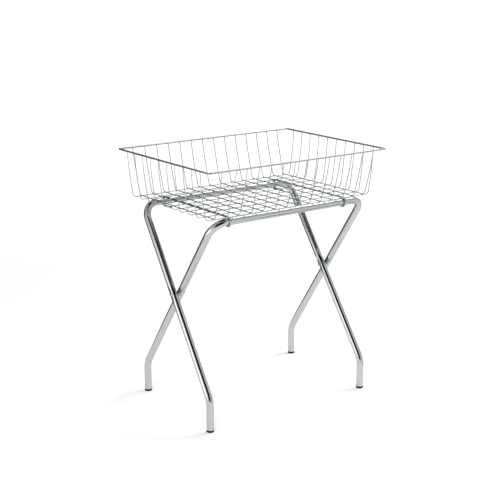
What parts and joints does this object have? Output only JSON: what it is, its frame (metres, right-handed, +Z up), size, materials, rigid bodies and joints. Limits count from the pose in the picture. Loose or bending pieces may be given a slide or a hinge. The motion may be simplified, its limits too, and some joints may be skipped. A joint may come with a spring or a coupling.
{
  "type": "folding basket stand",
  "caption": "Crossed-leg folding stand of bent chromed tube that carries a tapered open-top wire basket on its two rails.",
  "frame": {"origin": "on the floor, under the middle of the basket rim", "axes": "+Z up, +X along the rails and the basket's long side to the right, +Y from the front rail to the rear rail"},
  "size_m": [0.6654, 0.5014, 0.7968],
  "materials": {
    "tube": "bright chrome plating on bent steel tube, faint draw lines along it",
    "basket_wire": "bright zinc-chrome plating on thin welded wire",
    "rim": "bright chrome plating on thick wire",
    "support_wire": "bright chrome plating on bent rod",
    "pivot": "plated steel, slightly duller than the tube",
    "foot_plug": "black moulded plastic, fine satin grain"
  },
  "bodies": {
    "rear_frame": {"rear_rail_frame": "tube", "foot_plug_front_left": "foot_plug", "foot_plug_front_right": "foot_plug", "pivot_rivet_left": "pivot", "pivot_rivet_right": "pivot", "pivot_washer_left": "pivot", "pivot_washer_right": "pivot"},
    "front_frame": {"front_rail_frame": "tube", "foot_plug_rear_left": "foot_plug", "foot_plug_rear_right": "foot_plug"},
    "basket": {"rim_wire": "rim", "cross_wire_01": "basket_wire", "cross_wire_02": "basket_wire", "cross_wire_03": "basket_wire", "cross_wire_04": "basket_wire", "cross_wire_05": "basket_wire", "cross_wire_06": "basket_wire", "cross_wire_07": "basket_wire", "cross_wire_08": "basket_wire", "cross_wire_09": "basket_wire", "cross_wire_10": "basket_wire", "cross_wire_11": "basket_wire", "cross_wire_12": "basket_wire", "cross_wire_13": "basket_wire", "cross_wire_14": "basket_wire", "long_wire_01": "basket_wire", "long_wire_02": "basket_wire", "long_wire_03": "basket_wire", "long_wire_04": "basket_wire", "long_wire_05": "basket_wire", "long_wire_06": "basket_wire", "long_wire_07": "basket_wire", "long_wire_08": "basket_wire", "long_wire_09": "basket_wire", "long_wire_10": "basket_wire", "support_wire_left": "support_wire", "support_wire_right": "support_wire"}
  },
  "joints": [
    {"name": "stand_fold", "type": "hinge", "parent": "rear_frame", "child": "front_frame", "pos_m": [0.007, 0, 0.37876], "axis": [-1, 0, 0], "range_deg": [0, 64]},
    {"name": "basket_tilt", "type": "hinge", "parent": "rear_frame", "child": "basket", "pos_m": [0, 0.174, 0.628], "axis": [-1, 0, 0], "range_deg": [0, 32]}
  ],
  "couplings": [
    {"joint": "basket_tilt", "follows": "stand_fold", "ratio": 0.5}
  ]
}
